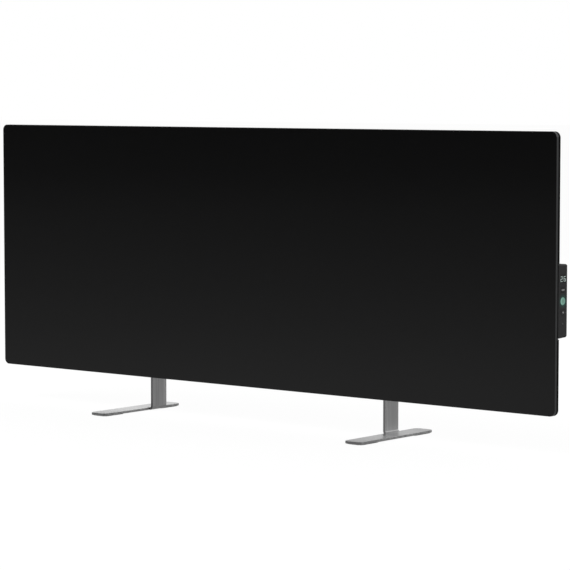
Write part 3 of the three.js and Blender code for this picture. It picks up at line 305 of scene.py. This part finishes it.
def speckle_group():
    """Unevenness from two noises on Vector, at the scale Size and at one 40 times coarser, each with its
    contrast widened to run from 0 to 1. Fine is the first, and Both weighs the two together."""
    coarser, broad_share = 0.025, 0.35
    noise_low, noise_high = 0.3, 0.7
    group = bpy.data.node_groups.new("speckle", "ShaderNodeTree")
    face = group.interface
    face.new_socket("Vector", in_out="INPUT", socket_type="NodeSocketVector")
    face.new_socket("Size", in_out="INPUT", socket_type="NodeSocketFloat")
    face.new_socket("Fine", in_out="OUTPUT", socket_type="NodeSocketFloat")
    face.new_socket("Both", in_out="OUTPUT", socket_type="NodeSocketFloat")
    add = adder(group)
    given = group.nodes.new("NodeGroupInput")
    result = group.nodes.new("NodeGroupOutput")
    place, size = given.outputs["Vector"], given.outputs["Size"]
    fine = add("TexNoise", {"Vector": place, "Scale": size, "Detail": 3.0})
    coarse = add("Math", {0: size, 1: coarser}, operation="MULTIPLY")
    broad = add("TexNoise", {"Vector": place, "Scale": coarse.outputs[0], "Detail": 2.0})
    spread = [add("MapRange", {"Value": noise.outputs["Fac"], "From Min": noise_low, "From Max": noise_high})
              for noise in (fine, broad)]
    weighed = add("Mix", {0: broad_share, 2: spread[0].outputs[0], 3: spread[1].outputs[0]},
                  data_type="FLOAT")
    group.links.new(spread[0].outputs[0], result.inputs["Fine"])
    group.links.new(weighed.outputs[0], result.inputs["Both"])
    return group


speckle = speckle_group()


def finish(name, colour, size=900.0, spread=0.08, rough=(0.45, 0.55), bump=0.03, depth=0.00005,
           stretch=(1.0, 1.0, 1.0), metal=0.0, specular=0.5):
    """Material of one finish: the speckle group lightens and darkens the colour by `spread`, moves the
    roughness between its two ends, and raises the surface by a bump."""
    coat = bpy.data.materials.new(name)
    add = node_tree(coat)
    place = add("TexCoord")
    laid = add("Mapping", {"Vector": place.outputs["Object"], "Scale": stretch})
    marks = add("Group", {"Vector": laid.outputs[0], "Size": size}, node_tree=speckle)
    low = tuple(part * (1.0 - spread) for part in colour) + (1.0,)
    high = tuple(min(part * (1.0 + spread), 1.0) for part in colour) + (1.0,)
    tone = add("Mix", {0: marks.outputs["Both"], 6: low, 7: high}, data_type="RGBA")
    gloss = add("MapRange", {"Value": marks.outputs["Both"], "To Min": rough[0], "To Max": rough[1]})
    raised = add("Bump", {"Strength": bump, "Distance": depth, "Height": marks.outputs["Fine"]})
    shader = add("BsdfPrincipled", {"Base Color": tone.outputs[2], "Roughness": gloss.outputs[0],
                                    "Normal": raised.outputs[0], "Metallic": metal,
                                    "Specular IOR Level": specular})
    add("OutputMaterial", {"Surface": shader.outputs[0]})
    return coat


black_glass = finish("black_glass", (0.0010, 0.0010, 0.0011), size=60.0, spread=0.2, rough=(0.03, 0.06),
                     bump=0.004, depth=0.00001)
ground_edge = finish("ground_edge", (0.022, 0.023, 0.024), size=900.0, spread=0.15, rough=(0.30, 0.42),
                     bump=0.02, specular=0.4)
painted_edge = finish("painted_edge", (0.0012, 0.0012, 0.0013), size=700.0, spread=0.2, rough=(0.5, 0.62),
                      bump=0.05, specular=0.05)
box_gap = 0.0003          # between the rear pane's recess and the box, above and below
edge_turn = 0.35          # a face whose normal has less than this along Y belongs to the pane's edge
cap_low, cap_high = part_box("control_fascia")
rear_low, rear_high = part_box("rear_glass_pane")
rear_middle = (rear_low.z + rear_high.z) / 2
beside_box = (rear_high.x - cap_high.x,
              cap_low.z - rear_middle - box_gap, cap_high.z - rear_middle + box_gap)
for node, front_round, back_round, edge_coat, recess in (
        ("front_glass_pane", 0.0008, 0.0004, ground_edge, None),
        ("rear_glass_pane", 0.0004, 0.0005, painted_edge, beside_box)):
    low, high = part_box(node)
    pane = round_plate(node.replace("_pane", ""), low, high, axis=1, corner=pane_corner,
                       round_low=front_round, round_high=back_round, steps=16, edge_steps=8, recess=recess)
    smooth_faces(pane, pane_crease)
    fit(pane, black_glass, "black_glass", node)
    pane.data.materials.append(edge_coat)
    facing = np.empty(len(pane.data.polygons) * 3, dtype=np.float32)
    pane.data.polygons.foreach_get("normal", facing)
    on_edge = np.abs(facing.reshape(-1, 3)[:, 1]) < edge_turn
    pane.data.polygons.foreach_set("material_index", on_edge.astype(np.int32))

# ---------------------------------------------------------------- heating film, bus bars and edge seal
# A printed carbon film with a copper strip along its top and bottom, sealed in between the panes by a
# frame of dark butyl.
film_edge = 0.00005


def dressed(node, coat, slot, edge, body="heater", segments=2):
    """A copy of a CAD piece: corners merged, flat faces made whole, sharp edges rounded by `edge`."""
    weld, flat, crease = 0.000002, 0.6, 32.0
    mesh = bpy.data.meshes.new(node + "_made")
    work = bmesh.new()
    work.from_mesh(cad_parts[node].data)
    bmesh.ops.remove_doubles(work, verts=work.verts, dist=weld)
    bmesh.ops.dissolve_limit(work, angle_limit=math.radians(flat), verts=work.verts, edges=work.edges)
    work.to_mesh(mesh)
    work.free()
    made = in_scene(node + "_made", mesh)
    rounded = made.modifiers.new("edges", "BEVEL")
    rounded.width = edge
    rounded.segments = segments
    rounded.limit_method = "ANGLE"
    rounded.angle_limit = math.radians(crease)
    rounded.use_clamp_overlap = True
    smooth_faces(made, crease)
    fit(made, coat, slot, node, body=body)


film = finish("heating_film", (0.02, 0.018, 0.016), size=400.0, stretch=(0.1, 1.0, 3.0), rough=(0.5, 0.7))
copper = finish("copper", (0.72, 0.36, 0.2), size=1200.0, stretch=(0.05, 1.0, 1.0), rough=(0.28, 0.4),
                metal=1.0)
butyl = finish("dark_sealant", (0.012, 0.012, 0.013), size=300.0, rough=(0.6, 0.8), bump=0.1)
for node, coat, slot in (("heating_film", film, "heating_film"), ("bus_bar_upper", copper, "copper"),
                         ("bus_bar_lower", copper, "copper"), ("edge_seal", butyl, "dark_sealant")):
    dressed(node, coat, slot, film_edge, segments=1)

# ---------------------------------------------------------------- feet
# Each foot is one plate of brushed steel, 3.5 mm thick, cut and bent twice: a bar on the floor, a tab up
# past the glass, and a flange behind it. The brushing runs up the tab and across the bar.
foot_edge = 0.0003


def brushed_steel():
    """Steel brushed along the plate: the lines run up the tab and across the bar. The cut edges, which face
    sideways on the bar and forwards or backwards on the tab, are rougher, and darker by painted shade."""
    bar_below, tab_above = 0.0045, 0.0065           # heights over the floor, with a blend between
    cut_and_shaded_edge_below, cut_and_shaded_edge_gone = 0.060, 0.064    # the tab's rougher, painted-shade edges end behind the glass
    added_roughness = 0.10
    coat = bpy.data.materials.new("brushed_steel")
    add = node_tree(coat)
    place = add("TexCoord")
    along_tab = add("Mapping", {"Vector": place.outputs["Object"], "Scale": (1.0, 1.0, 0.02)})
    along_bar = add("Mapping", {"Vector": place.outputs["Object"], "Scale": (0.02, 1.0, 1.0)})
    height = add("SeparateXYZ", {0: place.outputs["Object"]})
    upright = add("MapRange", {"Value": height.outputs["Z"], "From Min": bar_below, "From Max": tab_above})
    way = add("Mix", {0: upright.outputs[0], 4: along_bar.outputs[0], 5: along_tab.outputs[0]},
              data_type="VECTOR")
    marks = add("Group", {"Vector": way.outputs[1], "Size": 330.0}, node_tree=speckle)
    facing = add("SeparateXYZ", {0: place.outputs["Normal"]})
    level = add("Math", {0: facing.outputs["Z"]}, operation="ABSOLUTE")
    side = add("MapRange", {"Value": level.outputs[0], "From Min": 0.75, "From Max": 0.35})
    bar_edge = add("Math", {0: side.outputs[0], 1: upright.outputs[0]}, operation="SUBTRACT",
                   use_clamp=True)
    across = add("Math", {0: facing.outputs["Y"]}, operation="ABSOLUTE")
    end = add("MapRange", {"Value": across.outputs[0], "From Min": 0.6, "From Max": 0.9})
    below = add("MapRange", {"Value": height.outputs["Z"], "From Min": cut_and_shaded_edge_gone,
                             "From Max": cut_and_shaded_edge_below})
    tab_edge = add("Math", {0: end.outputs[0], 1: below.outputs[0]}, operation="MULTIPLY")
    cut_edge_and_shade = add("Math", {0: bar_edge.outputs[0], 1: tab_edge.outputs[0]}, operation="MAXIMUM")
    face = add("Mix", {0: marks.outputs["Both"], 6: (0.33, 0.33, 0.335, 1.0), 7: (0.66, 0.66, 0.66, 1.0)},
               data_type="RGBA")
    # painted shade: the cut edges take this darker colour
    dull_and_painted_shade = add("Mix", {0: marks.outputs["Fine"], 6: (0.32, 0.32, 0.325, 1.0), 7: (0.54, 0.54, 0.54, 1.0)},
               data_type="RGBA")
    tone = add("Mix", {0: cut_edge_and_shade.outputs[0], 6: face.outputs[2], 7: dull_and_painted_shade.outputs[2]}, data_type="RGBA")
    gloss = add("MapRange", {"Value": marks.outputs["Both"], "To Min": 0.26, "To Max": 0.38})
    worn = add("Math", {0: cut_edge_and_shade.outputs[0], 1: added_roughness}, operation="MULTIPLY")
    rough = add("Math", {0: gloss.outputs[0], 1: worn.outputs[0]}, operation="ADD")
    raised = add("Bump", {"Strength": 0.12, "Distance": 0.00004, "Height": marks.outputs["Fine"]})
    shader = add("BsdfPrincipled", {"Base Color": tone.outputs[2], "Roughness": rough.outputs[0],
                                    "Normal": raised.outputs[0], "Metallic": 1.0})
    add("OutputMaterial", {"Surface": shader.outputs[0]})
    return coat


steel = brushed_steel()
for side in ("right", "left"):
    dressed("foot_" + side, steel, "brushed_steel", foot_edge)

# ---------------------------------------------------------------- floor pads
# Two strips of dark rubber under each bar, near its ends, cut with round corners and stuck on with their
# own adhesive. They hold the steel clear of the floor.
pad_corner = 0.007
pad_rubber = finish("pad_rubber", (0.018, 0.018, 0.019), size=700.0, rough=(0.7, 0.85), bump=0.2)
for side in ("right", "left"):
    for end in ("front", "rear"):
        node = f"foot_pad_{side}_{end}"
        low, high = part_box(node)
        pad = round_plate(node.replace("foot_", ""), low, high, axis=2, corner=pad_corner,
                          round_low=0.0002, round_high=0.0001, edge_steps=3)
        smooth_faces(pad)
        fit(pad, pad_rubber, "pad_rubber", node)

# ---------------------------------------------------------------- mount blocks and their screws
# Four moulded nylon blocks bonded to the rear glass. The lower two carry the feet on two socket screws
# each; the upper two have the same pair of threaded holes for a wall plate.
block_edge = 0.0003
nylon = finish("block_plastic", (0.03, 0.03, 0.031), size=1100.0, rough=(0.5, 0.62), bump=0.08)
zinc = finish("zinc_plate", (0.55, 0.55, 0.53), size=1500.0, spread=0.12, rough=(0.25, 0.38), metal=1.0)
for kind in ("foot", "wall"):
    for side in ("right", "left"):
        dressed(f"{kind}_mount_{side}", nylon, "block_plastic", block_edge)


def turned(name, middle, stations, sides=48):
    """Rings round an axis along Y through `middle` (x, z). A station is (y, radius, hexagon); the radius at
    angle a is radius when hexagon is 0, and radius cos 30 / cos(a mod 60 - 30) when it is 1, a hexagon."""
    turn = np.radians(np.arange(sides) * 360.0 / sides)
    flat = math.cos(math.pi / 6) / np.cos(np.mod(turn, math.pi / 3) - math.pi / 6)
    y, radius, hexagon = (np.array(column)[:, None] for column in zip(*stations))
    out = radius * (1.0 - hexagon + hexagon * flat)
    depth = np.broadcast_to(y, out.shape)
    points = np.stack([middle[0] + out * np.cos(turn), depth, middle[1] + out * np.sin(turn)], -1)
    return grid_mesh(name, points, around=True, ends=True)


shank = 0.0025            # radius, as all that follow but the heights and depths
point = 0.0005            # chamfer at the end of the shank
head_height = 0.0027
head_chamfer = 0.0003
crown = ((0.0012, 0.0), (0.0006, 0.0002), (0.0002, 0.0006), (0.0, 0.0014))    # down from the top, inwards
mouth, mouth_depth = 0.00195, 0.0002
socket, socket_depth = 0.00173, 0.0015
drill, drill_depth = 0.0006, 0.0019
for side in ("right", "left"):
    for level in ("upper", "lower"):
        node = f"foot_screw_{side}_{level}"
        low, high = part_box(node)
        head = (high.x - low.x) / 2
        seat, top = high.y - head_height, high.y
        stations = [(low.y, shank - point, 0), (low.y + point, shank, 0), (seat, shank, 0),
                    (seat, head - head_chamfer, 0), (seat + head_chamfer, head, 0)]
        stations += [(top - down, head - inwards, 0) for down, inwards in crown]
        stations += [(top, mouth, 0.6), (top - mouth_depth, socket, 1), (top - socket_depth, socket, 1),
                     (top - drill_depth, drill, 0)]
        screw = turned(node + "_made", ((low.x + high.x) / 2, (low.z + high.z) / 2), stations)
        smooth_faces(screw, crease=40.0)
        fit(screw, zinc, "zinc_plate", node)

# ---------------------------------------------------------------- control box
# A base against the glass and a cover over it, both injection moulded in matt black plastic with a fine
# spark-eroded texture. Four cross-slotted screws hold the cover; the end cap closes the right-hand side.
box_plastic = finish("box_plastic", (0.016, 0.016, 0.0165), size=1500.0, spread=0.12, rough=(0.5, 0.6),
                     bump=0.12, depth=0.00004, specular=0.25)
dressed("control_base", box_plastic, "box_plastic", edge=0.0002)
dressed("control_cover", box_plastic, "box_plastic", edge=0.0003)
for level in ("upper", "lower"):
    for side in ("left", "right"):
        dressed(f"cover_screw_{level}_{side}", zinc, "zinc_plate", edge=0.00012)


def middle_of(node):
    """The middle (y, z) of a piece, as it shows in the end cap's face."""
    low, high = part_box(node)
    return (low.y + high.y) / 2, (low.z + high.z) / 2


def shine(coat, colour):
    """Makes a finish give off the colour that comes out of a socket."""
    shader = coat.node_tree.nodes["Principled BSDF"]
    coat.node_tree.links.new(colour, shader.inputs["Emission Color"])
    shader.inputs["Emission Strength"].default_value = 1.0


def lit_round(name, colour, middle, glow, near, beyond, far, **values):
    """A plastic with soft light round a point (y, z) of the end cap: the colour `glow` within `near` of
    the point, turning into `beyond` at `far`, along 3t^2 - 2t^3."""
    coat = finish(name, colour, **values)
    add = adder(coat.node_tree)
    place = add("TexCoord")
    flat = add("VectorMath", {0: place.outputs["Object"], 1: (0.0, 1.0, 1.0)}, operation="MULTIPLY")
    away = add("VectorMath", {0: flat.outputs[0], 1: (0.0, *middle)}, operation="DISTANCE")
    near_by = add("MapRange", {"Value": away.outputs["Value"], "From Min": near, "From Max": far,
                               "To Min": 1.0, "To Max": 0.0}, interpolation_type="SMOOTHSTEP")
    light = add("Mix", {0: near_by.outputs[0], 6: beyond + (1.0,), 7: glow + (1.0,)}, data_type="RGBA")
    shine(coat, light.outputs[2])
    return coat


satin_black = (0.0185, 0.0185, 0.019)
ring_middle = middle_of("power_ring")
# The end cap carries a painted green glow round the power ring: the ring's light painted onto the plastic.
cap_plastic_painted_glow = lit_round("fascia_plastic", satin_black, ring_middle, glow=(0.0, 0.024, 0.017), near=0.0046,
                        beyond=(0.0, 0.0, 0.0), far=0.0110, size=1500.0, spread=0.12, rough=(0.5, 0.6),
                        bump=0.10, depth=0.00004, specular=0.25)
dressed("control_fascia", cap_plastic_painted_glow, "fascia_plastic", edge=0.0004)

# ---------------------------------------------------------------- display window and digits
# A smoked window set flush into the end cap, satin like it, so that only the lit digits show. Each digit
# is made of seven strokes, of which those for 2 and for 6 are lit.
window = finish("smoked_lens", (0.014, 0.014, 0.0145), size=1500.0, spread=0.1, rough=(0.45, 0.52),
                bump=0.06, specular=0.25)
window_corner = 0.0008
low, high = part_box("display_lens")
lens = round_plate("window", low, high, axis=0, corner=window_corner, round_low=0.0001,
                   round_high=0.00015, steps=6, edge_steps=3)
smooth_faces(lens)
fit(lens, window, "smoked_lens", "display_lens")


def lit_paint(name, colour):
    """Light that shines through the plastic, uneven by a few hundredths, as a diffusing film makes it."""
    coat = finish(name, tuple(0.4 * part for part in colour), size=700.0, rough=(0.5, 0.6), bump=0.0)
    add = adder(coat.node_tree)
    place = add("TexCoord")
    cloud = add("TexNoise", {"Vector": place.outputs["Object"], "Scale": 900.0, "Detail": 1.0})
    dimmer = tuple(0.93 * part for part in colour)
    light = add("Mix", {0: cloud.outputs["Fac"], 6: dimmer + (1.0,), 7: colour + (1.0,)}, data_type="RGBA")
    shine(coat, light.outputs[2])
    return coat


def stroke(name, face, start, end, width, corner, rise=0.00005):
    """A flat bar on the end cap's face: the rectangle with round corners, its middle put halfway from
    start to end, both (y, z), its length laid along the line between them and its width across it. It
    stands out of the face by `rise` and is sunk into it a little."""
    sunk = 0.0001
    start, end = np.array(start), np.array(end)
    run = end - start
    length = np.hypot(*run)
    across = np.array([-run[1], run[0]]) / length
    flat = rounded_outline(length / 2 + width / 2, width / 2, corner, 4)
    placed = (start + end) / 2 + flat[:, :1] * run / length + flat[:, 1:] * across
    rings = [np.column_stack([np.full(len(placed), face + depth), placed]) for depth in (-sunk, rise)]
    return grid_mesh(name, np.array(rings), around=True, ends=True)


def joined(name, parts):
    """One object from several: their meshes copied into one, the parts removed."""
    work = bmesh.new()
    for part in parts:
        work.from_mesh(part.data)
        bpy.data.objects.remove(part)
    mesh = bpy.data.meshes.new(name)
    work.to_mesh(mesh)
    work.free()
    return in_scene(name, mesh)


digit_light = lit_paint("digit_display", (0.45, 0.545, 0.51))
digit_half_across, digit_half_up = 0.0019, 0.0030
digit_drop = 0.0004       # below the middle of the window
stroke_width, stroke_corner = 0.0005, 0.00024
window_y, window_z = middle_of("display_lens")
# Both ends of each stroke, in halves of the digit's width and height.
segments = {"a": ((-1, 1), (1, 1)), "b": ((1, 1), (1, 0)), "c": ((1, 0), (1, -1)),
            "d": ((-1, -1), (1, -1)), "e": ((-1, 0), (-1, -1)), "f": ((-1, 1), (-1, 0)),
            "g": ((-1, 0), (1, 0))}
for side, shift, lit in (("left", -0.0038, "abged"), ("right", 0.0036, "afgedc")):
    bars = []
    for letter in lit:
        start, end = [(window_y + shift + y * digit_half_across, window_z - digit_drop + z * digit_half_up)
                      for y, z in segments[letter]]
        bars.append(stroke("bar", high.x, start, end, stroke_width, stroke_corner))
    digit = joined("digit_" + side, bars)
    fit(digit, digit_light, "digit_display")

# ---------------------------------------------------------------- keys, light ring and indicator
# Two satin keys with a printed mark, a round dished key in a ring that lights green, and a dim round
# light below them. Each sits in its own hole of the end cap, kept in by a flange behind it.
key_edge = 0.0002
key_plastic = finish("key_plastic", satin_black, size=1500.0, spread=0.1, rough=(0.47, 0.57),
                     bump=0.08, specular=0.25)
grey_print = finish("grey_print", (0.27, 0.27, 0.27), size=900.0, spread=0.05, rough=(0.5, 0.6))
ink = 0.00003             # thickness of the print, and of its second stroke where two cross
ink_twice = 0.00004
minus_front, minus_rear = 0.0031, 0.0024    # from the middle of the key to the two ends of the mark
minus_width, minus_corner = 0.0014, 0.0005
plus_arm = 0.0014
plus_width, plus_corner = 0.0009, 0.0003
for key in ("minus_key", "plus_key"):
    dressed(key, key_plastic, "fascia_plastic", key_edge, body=key)
    low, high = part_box(key)
    y, z = middle_of(key)
    if key == "minus_key":
        marks = [stroke("bar", high.x, (y - minus_front, z), (y + minus_rear, z), minus_width,
                        minus_corner, ink)]
    else:
        marks = [stroke("bar", high.x, (y - plus_arm, z), (y + plus_arm, z), plus_width,
                        plus_corner, ink),
                 stroke("bar", high.x, (y, z - plus_arm), (y, z + plus_arm), plus_width,
                        plus_corner, ink_twice)]
    mark = joined(key.replace("key", "mark"), marks)
    fit(mark, grey_print, "fascia_plastic", body=key)

lamp_shift = 0.0045       # the lamp that lights the ring sits this far to the front of its middle
ring_light = lit_round("light_guide", (0.05, 0.10, 0.08), (ring_middle[0] - lamp_shift, ring_middle[1]),
                       glow=(0.22, 0.43, 0.345), near=0.0015, beyond=(0.085, 0.18, 0.142), far=0.0072,
                       size=700.0, rough=(0.4, 0.5), bump=0.0)
dressed("power_ring", ring_light, "light_guide", edge=0.00015)
# The power key's green light is painted: the ring's light on the key, brightest at its rim beside the ring.
key_painted_ring_glow = lit_round("power_key_plastic", (0.03, 0.06, 0.05), ring_middle,
                    glow=(0.10, 0.19, 0.15), near=0.0014, beyond=(0.14, 0.28, 0.225), far=0.0041,
                    size=1500.0, rough=(0.45, 0.55), specular=0.3)
dressed("power_key", key_painted_ring_glow, "fascia_plastic", key_edge, body="power_key")
indicator_light = lit_round("indicator_light", satin_black, middle_of("indicator_pipe"),
                            glow=(0.026, 0.027, 0.027), near=0.0008,
                            beyond=(0.006, 0.006, 0.006), far=0.0021,
                            size=1500.0, rough=(0.45, 0.55), specular=0.25)
dressed("indicator_pipe", indicator_light, "light_guide", edge=0.0001)

# ---------------------------------------------------------------- cable gland
# A threaded nylon gland through the bottom of the box, held by a nut inside: the inlet of the mains cord.
# Both are moulded in the plastic of the mount blocks.
for node in ("cable_gland", "gland_nut"):
    dressed(node, nylon, "block_plastic", edge=0.0002)

# ---------------------------------------------------------------- boards and what is on them
# Two glass-fibre boards with their relay, transformer, capacitor, fuse, terminals and switches, joined
# by a flat cable, and the leads and sensors beside them. All are hidden in the closed box, so each keeps
# the shape of its CAD piece.
board_green = finish("board_green", (0.02, 0.12, 0.05), size=500.0, spread=0.15, rough=(0.35, 0.45))
part_black = finish("part_black", (0.02, 0.02, 0.021), size=900.0, rough=(0.45, 0.6))
part_blue = finish("part_blue", (0.03, 0.10, 0.30), size=900.0, rough=(0.4, 0.5))
part_yellow = finish("part_yellow", (0.62, 0.46, 0.08), size=300.0, rough=(0.4, 0.55))
part_white = finish("part_white", (0.70, 0.70, 0.68), size=900.0, rough=(0.4, 0.5))
fuse_glass = finish("fuse_glass", (0.75, 0.78, 0.78), size=900.0, spread=0.05, rough=(0.05, 0.1))
ribbon_grey = finish("ribbon_grey", (0.30, 0.30, 0.31), size=900.0, stretch=(1.0, 0.2, 1.0),
                     rough=(0.5, 0.6))
lead_red = finish("lead_red", (0.45, 0.03, 0.02), size=900.0, rough=(0.4, 0.5))
for coat, slot, edge, nodes in (
        (board_green, "board_green", 0.0001, ("main_board", "display_board")),
        (part_black, "part_black", 0.0002, ("relay", "control_chip", "tilt_switch", "thermal_cutout",
                                            "minus_switch", "power_switch", "plus_switch", "room_sensor")),
        (part_yellow, "part_yellow", 0.0002, ("transformer",)),
        (part_blue, "part_blue", 0.0002, ("smoothing_capacitor",)),
        (fuse_glass, "fuse_glass", 0.0001, ("fuse",)),
        (part_white, "part_white", 0.0002, ("mains_terminal",)),
        (copper, "zinc_plate", 0.0001, ("load_terminal_upper", "load_terminal_lower")),
        (ribbon_grey, "ribbon_grey", 0.0001, ("ribbon_cable",)),
        (lead_red, "lead_red", 0.0001, ("lead_upper", "lead_lower")),
        (part_black, "digit_display", 0.0002, ("digit_display",))):
    for node in nodes:
        dressed(node, coat, slot, edge, segments=1)
